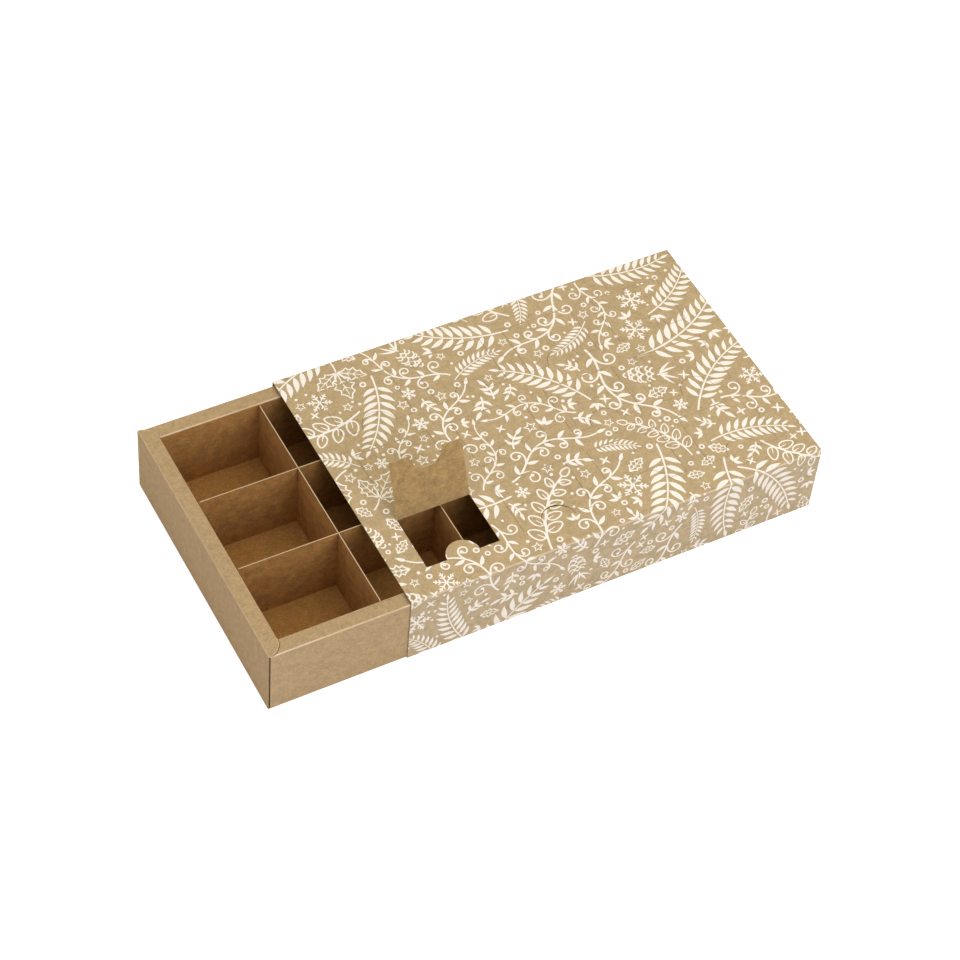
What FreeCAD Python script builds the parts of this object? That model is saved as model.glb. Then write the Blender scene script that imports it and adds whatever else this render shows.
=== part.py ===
"""Slide box for an advent calendar, in folded kraft card.

A printed sleeve goes round a tray. The tray has hollow roll-over walls and a grid of half-lapped dividers,
and the sleeve's top has a die-cut door over each cell. The tray stands pulled out of the sleeve's left end,
and one door stands open.

The origin is the centre of the sleeve's underside. X runs along the slide, +X towards the far end,
Y runs from the front to the back, and Z is up. Sizes are in millimetres and angles in degrees.
"""

import FreeCAD
import Part
import math
import os

from FreeCAD import Vector

# Sleeve
sleeve_length = 290.0
sleeve_width = 195.4
sleeve_height = 55.0
sleeve_card = 0.5
sleeve_bend = 1.2            # outer radius of the sleeve's four creased edges
glue_flap_height = 14.0
glue_edge_gap = 0.3          # the back panel stops this far above the underside

# Doors, in rows from front to back and columns from the tray's pulled end
row_names = ("front", "middle", "back")
door_columns = 4
door_end_margin = 20.55      # card between an end of the sleeve and the nearest door
door_side_margin = 20.45     # from the sleeve's front to the first row, and from the last row to its back
door_web_x = 16.3            # card between two doors of a row
door_web_y = 16.5            # card between two rows
cut_gap = 0.25               # width of the die cut around a door
thumb_radius = 11.0          # half-disc that the sleeve keeps in front of each door
nick_width = 0.6             # uncut nick on each side, which holds a new door shut
nicks_from_hinge = (27.7, 20.0)     # on the left and on the right side
open_door = (0, 0)           # row and column
open_angle = 112.0
pressed_tab = (0, 1)         # this half-disc has been pushed in a little
pressed_angle = 5.0

# Tray
tray_card = 0.6
tray_end_inset = 0.5         # the closed tray ends this far inside each end of the sleeve
tray_top_clearance = 1.5
tray_side_clearance = 0.4
rim_width = 10.5
tray_bend = 1.0              # outer radius of the tray's creased edges
corner_gap = 0.7             # open seam between two walls at an upright corner
inner_corner_gap = 0.1
tray_pull = 93.5             # how far the tray stands out of its closed place
lock_tab_width = 22.0
lock_tab_spacing_x = 150.0   # between the two tabs of a long wall
lock_tab_spacing_y = 80.0    # between the two tabs of an end wall
lock_slot_clearance = 0.2

# Divider grid
divider_card = 0.6
divider_drop = 1.0           # below the tray's rim
divider_corner = 1.5
long_end_clearance = 1.0
cross_end_clearance = 0.3
slot_clearance = 0.2         # on each side of a card that stands in a slot
lap_clearance = 0.25         # each slot is this much deeper than half the height

door_rows = len(row_names)
cross_count = door_columns - 1
long_count = door_rows - 1
half_length = sleeve_length / 2
half_width = sleeve_width / 2

door_room_x = sleeve_length - 2 * door_end_margin - (door_columns - 1) * door_web_x
door_room_y = sleeve_width - 2 * door_side_margin - (door_rows - 1) * door_web_y
door_width = door_room_x / door_columns
door_depth = door_room_y / door_rows
door_pitch_x = door_width + door_web_x
door_pitch_y = door_depth + door_web_y

# The tray lies on the bottom panel, between the front panel and the glue flap
tray_length = sleeve_length - 2 * tray_end_inset
tray_height = sleeve_height - 2 * sleeve_card - tray_top_clearance
tray_front = -half_width + sleeve_card + tray_side_clearance
tray_back = half_width - 2 * sleeve_card - tray_side_clearance
tray_width = tray_back - tray_front
tray_left = -tray_length / 2 - tray_pull
tray_base = sleeve_card
wall_start = tray_card + corner_gap

divider_height = tray_height - divider_drop - tray_card
slot_width = divider_card + 2 * slot_clearance
slot_depth = divider_height / 2 + lap_clearance


def box(size, corner):
    return Part.makeBox(*size, Vector(*corner))


def spread(index, count, pitch):
    """Place of one of several evenly spaced things, with their middle at zero."""
    return (index - (count - 1) / 2) * pitch


def move(shape, offset):
    moved = shape.copy()
    moved.translate(Vector(*offset))
    return moved


def right_of(direction):
    return (direction[1], -direction[0])


def step(point, direction, distance):
    return (point[0] + direction[0] * distance, point[1] + direction[1] * distance)


def heading(start, end):
    length = math.dist(start, end)
    return ((end[0] - start[0]) / length, (end[1] - start[1]) / length)


def side_edges(corners, bend, depth, place):
    """Lines and arcs of one face of a folded card, depth inside its outer face.

    The card turns to the right at each corner, where its outer face has the radius bend.
    """
    edges = []
    ways = [heading(a, b) for a, b in zip(corners, corners[1:])]
    at = step(corners[0], right_of(ways[0]), depth)
    for corner, way, next_way in zip(corners[1:-1], ways, ways[1:]):
        middle = step(step(corner, way, -bend), right_of(way), bend)
        first = step(middle, right_of(way), depth - bend)
        last = step(middle, right_of(next_way), depth - bend)
        outwards = heading(middle, corner)
        between = step(middle, outwards, bend - depth)
        if math.dist(at, first) > 1e-6:
            edges.append(Part.makeLine(place(*at), place(*first)))
        edges.append(Part.Arc(place(*first), place(*between), place(*last)).toShape())
        at = last
    end = step(corners[-1], right_of(ways[-1]), depth)
    if math.dist(at, end) > 1e-6:
        edges.append(Part.makeLine(place(*at), place(*end)))
        at = end
    return edges, at


def folded_card(corners, bend, card, along, start, end):
    """A strip of card with creased edges, drawn out along X or Y from start to end.

    corners are the points of its outer face in (across, up). It turns to the right at each inner one.
    """
    if along == "x":
        def place(across, up):
            return Vector(start, across, up)
        run = Vector(end - start, 0, 0)
    else:
        def place(across, up):
            return Vector(across, start, up)
        run = Vector(0, end - start, 0)
    outer, outer_end = side_edges(corners, bend, 0, place)
    inner, inner_end = side_edges(corners, bend, card, place)
    inner_start = step(corners[0], right_of(heading(corners[0], corners[1])), card)
    caps = [Part.makeLine(place(*corners[0]), place(*inner_start)),
            Part.makeLine(place(*outer_end), place(*inner_end))]
    outline = Part.Wire(Part.__sortEdges__(outer + inner + caps))
    return Part.Face(outline).extrude(run)


def mirrored(shape, middle, normal):
    return shape.mirror(Vector(*middle), Vector(*normal))


# Doors and their openings

def door_centre_x(column):
    return spread(column, door_columns, door_pitch_x)


def hinge_y(row):
    return spread(row, door_rows, door_pitch_y) + door_depth / 2


def door_front_y(row):
    return hinge_y(row) - door_depth


def thumb_disc(row, column, radius, low, high):
    base = Vector(door_centre_x(column), door_front_y(row), low)
    return Part.makeCylinder(radius, high - low, base)


def opening_tool(row, column):
    """What the die takes out of the top panel for one door: the half-disc and the nicks stay."""
    low = sleeve_height - 2 * sleeve_card
    high = sleeve_height + sleeve_card
    left = door_centre_x(column) - door_width / 2
    cut = box((door_width, door_depth, high - low), (left, door_front_y(row), low))
    cut = cut.cut(thumb_disc(row, column, thumb_radius, low, high))
    for nick_x, from_hinge in zip((left, left + door_width - cut_gap), nicks_from_hinge):
        nick_y = hinge_y(row) - from_hinge - nick_width / 2
        cut = cut.cut(box((cut_gap, nick_width, high - low), (nick_x, nick_y, low)))
    return cut


def door(row, column):
    """Closed door, with its notch round the half-disc. Its hinge edge touches the top panel."""
    low = sleeve_height - sleeve_card
    left = door_centre_x(column) - door_width / 2
    size = (door_width - 2 * cut_gap, door_depth - cut_gap, sleeve_card)
    leaf = box(size, (left + cut_gap, door_front_y(row) + cut_gap, low))
    return leaf.cut(thumb_disc(row, column, thumb_radius + cut_gap, low, sleeve_height))


def opened(leaf, row, angle):
    """The door turned on its crease, which is the top panel's upper face at the hinge edge."""
    turned = leaf.copy()
    turned.rotate(Vector(0, hinge_y(row), sleeve_height), Vector(-1, 0, 0), angle)
    return turned


def pressed_half_disc(row, column):
    """A half-disc that has been pushed in: it turns down about its straight base."""
    low = sleeve_height - sleeve_card
    disc = thumb_disc(row, column, thumb_radius, low, sleeve_height)
    reach = thumb_radius + sleeve_card
    keep = box((2 * reach, reach, sleeve_card), (door_centre_x(column) - reach, door_front_y(row), low))
    half = disc.common(keep)
    half.rotate(Vector(0, door_front_y(row), sleeve_height), Vector(-1, 0, 0), pressed_angle)
    return half


# Sleeve panels

def sleeve_panels():
    left, right = -half_length, half_length
    front, back = -half_width, half_width
    flap_face = back - sleeve_card
    panels = {}
    panels["sleeve_front"] = folded_card(
        [(front + sleeve_bend, 0), (front, 0), (front, sleeve_height), (front + sleeve_bend, sleeve_height)],
        sleeve_bend, sleeve_card, "x", left, right)
    panels["sleeve_back"] = folded_card(
        [(back - sleeve_bend, sleeve_height), (back, sleeve_height), (back, glue_edge_gap)],
        sleeve_bend, sleeve_card, "x", left, right)
    panels["sleeve_glue_flap"] = folded_card(
        [(flap_face, glue_flap_height), (flap_face, 0), (flap_face - sleeve_bend, 0)],
        sleeve_bend, sleeve_card, "x", left, right)
    bottom_depth = flap_face - sleeve_bend - (front + sleeve_bend)
    panels["sleeve_bottom"] = box((sleeve_length, bottom_depth, sleeve_card), (left, front + sleeve_bend, 0))
    panels["sleeve_top"] = top_panel()
    return panels


def top_panel():
    size = (sleeve_length, sleeve_width - 2 * sleeve_bend, sleeve_card)
    panel = box(size, (-half_length, -half_width + sleeve_bend, sleeve_height - sleeve_card))
    cuts = [opening_tool(row, column) for row in range(door_rows) for column in range(door_columns)]
    panel = panel.cut(Part.makeCompound(cuts))
    low, high = sleeve_height - 2 * sleeve_card, sleeve_height + sleeve_card
    row, column = pressed_tab
    reach = thumb_radius + sleeve_card
    flat = thumb_disc(row, column, thumb_radius + cut_gap / 2, low, high).common(
        box((2 * reach, reach, high - low), (door_centre_x(column) - reach, door_front_y(row), low)))
    return panel.cut(flat).fuse(pressed_half_disc(row, column)).removeSplitter()


# Tray, in its own place: X from its left end, Y from its front and Z from its underside

def to_tray_place(shape):
    return move(shape, (tray_left, tray_front, tray_base))


def lock_tab_spots(length, spacing):
    """Starts of the two lock tabs of a wall of this length."""
    return [length / 2 + side * spacing / 2 - lock_tab_width / 2 for side in (-1, 1)]


def lock_slots():
    """Slots of the floor that take the lock tabs of all four inner walls."""
    width = tray_card + 2 * lock_slot_clearance
    reach = lock_tab_width + 2 * lock_slot_clearance
    inner_face = rim_width - tray_card - lock_slot_clearance
    slots = []
    for start in lock_tab_spots(tray_length, lock_tab_spacing_x):
        for y in (inner_face, tray_width - inner_face - width):
            slots.append(box((reach, width, tray_card), (start - lock_slot_clearance, y, 0)))
    for start in lock_tab_spots(tray_width, lock_tab_spacing_y):
        for x in (inner_face, tray_length - inner_face - width):
            slots.append(box((width, reach, tray_card), (x, start - lock_slot_clearance, 0)))
    return slots


def tray_floor():
    size = (tray_length - 2 * tray_bend, tray_width - 2 * tray_bend, tray_card)
    return box(size, (tray_bend, tray_bend, 0)).cut(Part.makeCompound(lock_slots()))


def long_wall():
    """Front wall: up from the floor, over the rim and down again to the floor. The end walls' rims lie on
    its rim, so it is one card lower than they are."""
    top = tray_height - tray_card
    corners = [(tray_bend, 0), (0, 0), (0, top), (rim_width, top), (rim_width, tray_card)]
    wall = folded_card(corners, tray_bend, tray_card, "x", wall_start, tray_length - wall_start)
    tabs = [box((lock_tab_width, tray_card, 2 * tray_card), (start, rim_width - tray_card, 0))
            for start in lock_tab_spots(tray_length, lock_tab_spacing_x)]
    return wall.fuse(tabs).removeSplitter()


def end_wall():
    """Left wall: its rim ends in a rounded lobe at each corner, over the long walls' rims, and its inner
    face fits between the long walls' inner faces."""
    outer_corners = [(tray_bend, 0), (0, 0), (0, tray_height), (rim_width, tray_height)]
    outer = folded_card(outer_corners, tray_bend, tray_card, "y", 0, tray_width)
    inner_start = rim_width + inner_corner_gap
    inner_end = tray_width - inner_start
    fold_start = rim_width - 2 * tray_bend
    inner_corners = [(fold_start, tray_height), (rim_width, tray_height), (rim_width, tray_card)]
    inner = folded_card(inner_corners, tray_bend, tray_card, "y", inner_start, inner_end)
    fold_room = box((tray_bend, inner_end - inner_start, tray_bend),
                    (rim_width - tray_bend, inner_start, tray_height - tray_bend))
    tabs = [box((tray_card, lock_tab_width, 2 * tray_card), (rim_width - tray_card, start, 0))
            for start in lock_tab_spots(tray_width, lock_tab_spacing_y)]
    wall = outer.cut(fold_room).cut(Part.makeCompound(lobe_waste() + foot_waste()))
    return wall.fuse([inner] + tabs).removeSplitter()


def lobe_waste():
    """What rounds the two ends of an end wall's rim to a quarter circle as wide as the rim."""
    depth = tray_bend
    low = tray_height - depth
    waste = []
    for middle, corner in ((rim_width, 0), (tray_width - rim_width, tray_width - rim_width)):
        block = box((rim_width + tray_card, rim_width, depth), (0, corner, low))
        waste.append(block.cut(Part.makeCylinder(rim_width, depth, Vector(0, middle, low))))
    return waste


def foot_waste():
    """What rounds the two lower corners of an end wall as the long walls' lower creases are rounded."""
    waste = []
    for middle, corner in ((tray_bend, 0), (tray_width - tray_bend, tray_width - tray_bend)):
        block = box((tray_bend, tray_bend, tray_bend), (0, corner, 0))
        rod = Part.makeCylinder(tray_bend, tray_bend, Vector(0, middle, tray_bend), Vector(1, 0, 0))
        waste.append(block.cut(rod))
    return waste


def tray_panels():
    front = long_wall()
    left = end_wall()
    middle = (tray_length / 2, tray_width / 2, 0)
    panels = {
        "tray_floor": tray_floor(),
        "tray_front_wall": front,
        "tray_back_wall": mirrored(front, middle, (0, 1, 0)),
        "tray_left_wall": left,
        "tray_right_wall": mirrored(left, middle, (1, 0, 0)),
    }
    return {name: to_tray_place(shape) for name, shape in panels.items()}


# Divider grid, in the tray's own place

def divider_blank(length):
    """Card that stands on its long edge, along X from zero, with its two top corners rounded."""
    corner = divider_corner
    diagonal = corner * (1 - math.sqrt(0.5))
    top = divider_height
    edges = [
        Part.makeLine(Vector(0, 0, 0), Vector(length, 0, 0)),
        Part.makeLine(Vector(length, 0, 0), Vector(length, 0, top - corner)),
        Part.Arc(Vector(length, 0, top - corner), Vector(length - diagonal, 0, top - diagonal),
                 Vector(length - corner, 0, top)).toShape(),
        Part.makeLine(Vector(length - corner, 0, top), Vector(corner, 0, top)),
        Part.Arc(Vector(corner, 0, top), Vector(diagonal, 0, top - diagonal),
                 Vector(0, 0, top - corner)).toShape(),
        Part.makeLine(Vector(0, 0, top - corner), Vector(0, 0, 0)),
    ]
    return Part.Face(Part.Wire(edges)).extrude(Vector(0, divider_card, 0))


def slotted_divider(length, centres, from_top):
    """Divider with a slot at each centre, from its top or from its bottom edge."""
    low = divider_height - slot_depth if from_top else 0
    slots = [box((slot_width, divider_card, slot_depth), (centre - slot_width / 2, 0, low))
             for centre in centres]
    return divider_blank(length).cut(Part.makeCompound(slots))


def dividers():
    long_length = tray_length - 2 * (rim_width + long_end_clearance)
    cross_length = tray_width - 2 * (rim_width + cross_end_clearance)
    long_slots = [long_length / 2 + spread(i, cross_count, door_pitch_x) for i in range(cross_count)]
    cross_slots = [cross_length / 2 + spread(i, long_count, door_pitch_y) for i in range(long_count)]
    long_card = slotted_divider(long_length, long_slots, True)
    cross_card = slotted_divider(cross_length, cross_slots, False)
    cross_card.rotate(Vector(0, 0, 0), Vector(0, 0, 1), 90)
    cross_card.translate(Vector(divider_card, 0, 0))
    cards = {}
    for i, name in enumerate(("front", "back")):
        y = tray_width / 2 + spread(i, long_count, door_pitch_y) - divider_card / 2
        cards[f"divider_long_{name}"] = move(long_card, (rim_width + long_end_clearance, y, tray_card))
    for i in range(cross_count):
        x = tray_length / 2 + spread(i, cross_count, door_pitch_x) - divider_card / 2
        cards[f"divider_cross_{i + 1}"] = move(cross_card, (x, rim_width + cross_end_clearance, tray_card))
    return {name: to_tray_place(card) for name, card in cards.items()}


def doors():
    leaves = {}
    for row, row_name in enumerate(row_names):
        for column in range(door_columns):
            leaf = door(row, column)
            if (row, column) == open_door:
                leaf = opened(leaf, row, open_angle)
            leaves[f"door_{row_name}_{column + 1}"] = leaf
    return leaves


os.makedirs("parts", exist_ok=True)
nodes = {**sleeve_panels(), **doors(), **tray_panels(), **dividers()}
for name, shape in nodes.items():
    shape.exportStep(f"parts/{name}.step")
    print(f"{name}: {len(shape.Solids)} solid, valid {shape.isValid()}, {shape.Volume:.1f} cubic millimetres")
print(f"{len(nodes)} nodes")
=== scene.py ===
# %% [markdown]
# # A slide box of printed kraft card
#
# A sleeve with twelve hinged doors goes round a tray with a card grid. The card parts come from model.glb, which
# fixes every size. This lesson gives them their finish: the fibres, creases and cut edges of kraft card, and the
# white ornament that is printed round the sleeve.

import cmath
import math
import random

import bpy
import numpy as np
from mathutils import Matrix, Quaternion, Vector


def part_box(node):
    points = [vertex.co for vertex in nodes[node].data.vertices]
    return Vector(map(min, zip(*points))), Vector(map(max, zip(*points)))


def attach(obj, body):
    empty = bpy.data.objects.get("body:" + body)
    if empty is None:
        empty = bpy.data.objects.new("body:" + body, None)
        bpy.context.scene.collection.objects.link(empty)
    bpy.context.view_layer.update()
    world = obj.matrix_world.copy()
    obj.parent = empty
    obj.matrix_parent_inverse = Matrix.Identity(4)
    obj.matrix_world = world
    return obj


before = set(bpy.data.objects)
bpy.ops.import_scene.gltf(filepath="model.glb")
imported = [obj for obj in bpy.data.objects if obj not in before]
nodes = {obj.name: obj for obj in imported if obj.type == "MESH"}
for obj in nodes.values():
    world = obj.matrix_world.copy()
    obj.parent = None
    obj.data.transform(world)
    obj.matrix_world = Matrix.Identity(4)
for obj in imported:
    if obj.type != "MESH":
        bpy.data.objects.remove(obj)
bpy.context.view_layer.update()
mm = 0.001

# %% [markdown]
# ## The view
#
# The camera stands high on the left, in front of the box, and is rolled a little, as when it is held by hand.
# It could be placed by its angles. A point that it aims at and a roll say the same in a way that can be read
# and changed one by one.

# %% Camera
camera_place = Vector((-653.4, -966.2, 1354.4)) * mm
camera_aim = Vector((-38.24, 10.08, 0)) * mm
camera_roll = math.radians(5.837)
camera_lens = 103.66

camera_data = bpy.data.cameras.new("camera")
camera_data.lens = camera_lens
camera_data.sensor_width = 36
camera = bpy.data.objects.new("camera", camera_data)
bpy.context.scene.collection.objects.link(camera)
level_view = (camera_aim - camera_place).to_track_quat("-Z", "Y")
camera.rotation_mode = "QUATERNION"
camera.rotation_quaternion = level_view @ Quaternion((0, 0, 1), camera_roll)
camera.location = camera_place
bpy.context.scene.camera = camera
print("camera", round((camera_aim - camera_place).length, 3), "m from its aim")

# %% [markdown]
# ## The light
#
# The box stands in a white studio, so soft light comes from all over. A brighter sky would give a white
# backdrop too, but would bleach the card. So the sky is moderate where it lights the box, and white only where
# it is seen, by itself or in something glossy. Shader nodes are wired in code, and a few helpers keep each node
# to one line.

# %% Helpers for materials
def shade(tree, kind, inputs=None, **settings):
    """Adds a shader node. A socket as a value is linked, and any other value is set."""
    made = tree.nodes.new("ShaderNode" + kind)
    for name, value in settings.items():
        setattr(made, name, value)
    for name, value in (inputs or {}).items():
        if isinstance(value, bpy.types.NodeSocket):
            tree.links.new(value, made.inputs[name])
        else:
            made.inputs[name].default_value = value
    return made


def calc(tree, operation, *values):
    return shade(tree, "Math", dict(enumerate(values)), operation=operation).outputs[0]


def new_material(name):
    made = bpy.data.materials.new(name)
    made.use_nodes = True
    made.node_tree.nodes.clear()
    return made, made.node_tree


def seen_directly(tree):
    """1 for what the camera sees by itself, in gloss or through glass, and 0 for what only lights a surface."""
    paths = shade(tree, "LightPath").outputs
    either = calc(tree, "MAXIMUM", paths["Is Camera Ray"], paths["Is Glossy Ray"])
    return calc(tree, "MAXIMUM", either, paths["Is Transmission Ray"])


print("shader nodes are added by", shade.__name__ + "()")

# %% World
bpy.context.scene.view_settings.view_transform = "Standard"
sky_strength = 0.5
world = bpy.data.worlds.new("studio")
bpy.context.scene.world = world
world.use_nodes = True
sky = world.node_tree
sky.nodes.clear()
soft_sky = shade(sky, "Background", {"Color": (0.97, 1.0, 1.0, 1), "Strength": sky_strength}).outputs[0]
white_sky = shade(sky, "Background", {"Color": (1, 1, 1, 1), "Strength": 1}).outputs[0]
both_skies = shade(sky, "MixShader", {0: seen_directly(sky), 1: soft_sky, 2: white_sky}).outputs[0]
shade(sky, "OutputWorld", {"Surface": both_skies})
print("sky of strength", sky_strength, "with a white backdrop")

# %% [markdown]
# ## Lamps
#
# Four large lamps add a little shape: two warm ones above for the top, a cooler one for the front and a weak
# one for the left end. The larger and nearer a lamp, the softer its shadows, so all are squares of 1.2 m, about
# 1.7 m away. Together they give the top a level at which a colour renders about as written.

# %% Lamps
lamp_width = 1.2


def add_lamp(name, place, power, colour):
    """A square area lamp, aimed at the box."""
    lamp_data = bpy.data.lights.new(name, "AREA")
    lamp_data.size = lamp_width
    lamp_data.energy = power
    lamp_data.color = colour
    lamp = bpy.data.objects.new(name, lamp_data)
    bpy.context.scene.collection.objects.link(lamp)
    lamp.location = place
    lamp.rotation_euler = (-lamp.location).to_track_quat("-Z", "Y").to_euler()


add_lamp("overhead", (0.5, 0.1, 1.6), 7.0, (1.0, 0.97, 0.84))
add_lamp("above_left", (-0.2, -0.3, 1.8), 5.0, (1.0, 0.88, 0.78))
add_lamp("front", (0.3, -1.6, 0.9), 17.6, (0.73, 0.765, 1.0))
add_lamp("left_end", (-1.8, 0.0, 0.8), 4.8, (0.90, 0.76, 1.0))

# %% [markdown]
# ## The floor
#
# The table fades into the white backdrop but still takes the shadow of the box. The floor has a plain pale
# finish for that, and only what is seen of it glows a little more.

# %% Floor
floor_width = 8
floor_drop = 0.1 * mm
floor_tone = (0.8, 0.8, 0.8, 1)
floor_glow = 0.72

bpy.ops.mesh.primitive_plane_add(size=floor_width, location=(0, 0, -floor_drop))
floor = bpy.context.object
floor.name = "floor"
floor_finish, tree = new_material("floor")
matt = shade(tree, "BsdfDiffuse", {"Color": floor_tone}).outputs[0]
glow = shade(tree, "Emission", {"Strength": floor_glow}).outputs[0]
glowing = shade(tree, "AddShader", {0: matt, 1: glow}).outputs[0]
floor_look = shade(tree, "MixShader", {0: seen_directly(tree), 1: matt, 2: glowing}).outputs[0]
shade(tree, "OutputMaterial", {"Surface": floor_look})
floor.data.materials.append(floor_finish)
print("floor", floor_width, "m wide, just below the box")

# %% [markdown]
# ## White ornament: strokes of ink
#
# The sleeve is screen-printed in white, on top, round the edges and below. A picture of the ornament could be
# laid on the card, but it would blur close up. Here each stroke is a thin flat plate of ink: a curve drawn with
# a flat nib, whose width follows the radius of each point, turned into a mesh and thickened. A motif is drawn in
# millimetres as a list of strokes, and its points are complex numbers, because adding and turning is easy
# with them.

# %% Strokes
pen = 1.12


def walk(start, heading, length, steps=12):
    """Points from start along a line whose direction at each share of its length is heading(share)."""
    points = [complex(start)]
    for i in range(steps):
        points.append(points[-1] + cmath.rect(length / steps, heading((i + 0.5) / steps)))
    return points


def line(points, thick=0.55, thin=None):
    """An open stroke with round ends, which may taper."""
    thin = thick if thin is None else thin
    last = len(points) - 1
    thick, thin = thick * pen, thin * pen
    radii = [thick + (thin - thick) * i / last for i in range(last + 1)]
    first_way = (points[1] - points[0]) / abs(points[1] - points[0])
    last_way = (points[-1] - points[-2]) / abs(points[-1] - points[-2])
    points = [points[0], points[0] + first_way * thick * 0.6, *points[1:-1],
              points[-1] - last_way * thin * 0.6, points[-1]]
    return points, [thick * 0.45, radii[0], *radii[1:-1], radii[-1], thin * 0.45], False


def outline(points, radius=0.5):
    """A closed stroke."""
    return points, [radius * pen] * len(points), True


def place_on(points, share):
    """Point and direction at a share of a line's length."""
    where = share * (len(points) - 1)
    i = min(int(where), len(points) - 2)
    run = points[i + 1] - points[i]
    return points[i] + run * (where - i), cmath.phase(run)


print("a 30 mm line that turns by a quarter ends at", np.round(walk(0, lambda share: share * math.pi / 2, 30)[-1], 1))

# %% [markdown]
# ## Solid leaflets and buds
#
# A filled leaflet could be a flat face with a leaf's outline. As a stroke whose width swells and shrinks it needs
# only eight points, bends with its stem and is drawn by the same nib as everything else.

# %% Leaflets and buds
def blade(base, way, length, width, bow=0.0):
    """A solid leaflet with pointed ends that bends by the angle bow."""
    steps = 7
    points = walk(base, lambda share: way + bow * (share - 0.5), length, steps)
    return points, [0.08 + width / 2 * math.sin(math.pi * (i / steps) ** 0.8) for i in range(steps + 1)], False


def bud(centre, radius):
    """A solid round dot."""
    shares = (-1, -0.8, -0.4, 0, 0.4, 0.8, 1)
    return [centre + radius * s for s in shares], [radius * math.sqrt(1.04 - s * s) for s in shares], False


print("a leaflet's half widths:", [round(radius, 2) for radius in blade(0, 0, 10, 3)[1]])

# %% [markdown]
# ## The motifs
#
# The ornament mixes long winter twigs with small stars and rings. Each motif is drawn once, along +X from its
# own origin, and placed many times. A frond has a stem that bends evenly, with leaflets in pairs that are
# longest in the middle. Leaflets that lean forwards and bow a little look grown and not stamped.

# %% Leaf frond
def frond():
    """A bowed stem with pairs of solid leaflets."""
    stem = walk(0, lambda share: 0.35 - 0.7 * share, 70, 22)
    strokes = [line(stem, 0.6, 0.42)]
    pairs = 9
    for i in range(pairs):
        share = 0.17 + 0.76 * i / (pairs - 1)
        base, way = place_on(stem, share)
        size = 13.5 * math.sin(math.pi * (0.24 + 0.6 * share))
        for side in (-1, 1):
            spread = way + side * math.radians(60 - 18 * share)
            strokes.append(blade(base + cmath.rect(0.9, spread), spread, size, size * 0.28, -0.5 * side))
    return strokes + [blade(stem[-1], cmath.phase(stem[-1] - stem[-2]), 8, 2.4)]


print("leaf frond:", len(frond()), "strokes")

# %% [markdown]
# ## Scrolled vine
#
# The vine's stem swings both ways. Its curls are lines whose heading turns faster and faster, which makes a
# spiral that tightens to its end, like a tendril. Arcs joined by hand would take longer and show their joints.

# %% Scrolled vine
def vine():
    """A swaying stem with curls to both sides, each with a bud, and a leaflet opposite."""
    stem = walk(0, lambda share: 0.6 * math.sin(2 * math.pi * share), 76, 26)
    strokes = [line(stem, 0.62, 0.46)]
    curls = 6
    for i in range(curls):
        side = 1 if i % 2 else -1
        base, way = place_on(stem, 0.1 + 0.14 * i)
        size = 29 - 2.4 * i
        curl = walk(base, lambda share: way + side * (0.3 + 6.6 * share ** 1.8), size, 22)
        strokes += [line(curl, 0.54, 0.44), bud(curl[-1], 1.2)]
        strokes.append(blade(base + cmath.rect(0.6, way - side * 0.9), way - side * 0.9, 8, 2.6, 0.5 * side))
    return strokes + [blade(stem[-1], cmath.phase(stem[-1] - stem[-2]), 7, 2.4)]


print("scrolled vine:", len(vine()), "strokes")

# %% [markdown]
# ## Twig with oval leaves
#
# Outlined leaves next to filled ones keep the ornament light. An oval whose width is a little greater towards
# its base is egg-shaped, and that is enough to read as a leaf.

# %% Twig with oval leaves
def oval(base, way, length, width):
    """Outline of an egg-shaped leaf that starts at base."""
    points = []
    for i in range(14):
        turn = 2 * math.pi * i / 14
        along = length / 2 * (1 - math.cos(turn))
        across = width / 2 * math.sin(turn) * (1 + 0.25 * math.cos(turn))
        points.append(base + cmath.rect(1, way) * complex(along, across))
    return points


def coin_twig():
    """A bowed stem with outlined oval leaves, left and right in turn."""
    stem = walk(0, lambda share: -0.4 + 0.9 * share, 60, 18)
    strokes = [line(stem, 0.6, 0.46)]
    leaves = 10
    for i in range(leaves):
        side = 1 if i % 2 else -1
        base, way = place_on(stem, 0.14 + 0.84 * i / leaves)
        spread = way + side * 0.95
        size = 11.5 - 0.5 * i
        foot = base + cmath.rect(1.5, spread)
        strokes += [line([base, foot], 0.44), outline(oval(foot, spread, size, size * 0.6), 0.48)]
        strokes.append(line([foot, foot + cmath.rect(size * 0.5, spread)], 0.4, 0.2))
    tip_way = cmath.phase(stem[-1] - stem[-2])
    return strokes + [outline(oval(stem[-1], tip_way, 8, 4.8), 0.48)]


print("oval-leaf twig:", len(coin_twig()), "strokes")

# %% [markdown]
# ## Holly
#
# A holly leaf's edge is a row of hollow arcs that meet in prickles. The half edge is a smooth bulge times a
# wave that touches 1 at each prickle, and the other half is its mirror image.

# %% Holly
def holly_leaf(base, way, length):
    """Outline and veins of one prickly leaf."""
    spikes, steps = 4, 5
    side_points = []
    for i in range(spikes * steps + 1):
        share = i / (spikes * steps)
        hollow = 1 - 0.42 * math.sin(math.pi * (spikes * share % 1))
        side_points.append(complex(length * share, 0.31 * length * math.sin(math.pi * share ** 0.9) * hollow))
    edge = side_points + [point.conjugate() for point in side_points[-2:0:-1]]
    turn = cmath.rect(1, way)
    strokes = [outline([base + turn * point for point in edge], 0.5)]
    strokes.append(line([base, base + turn * length * 0.84], 0.46, 0.25))
    for share in (0.3, 0.52):
        for side in (-1, 1):
            vein = base + turn * length * share
            strokes.append(line([vein, vein + cmath.rect(0.17 * length, way + 0.8 * side)], 0.36, 0.2))
    return strokes


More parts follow.
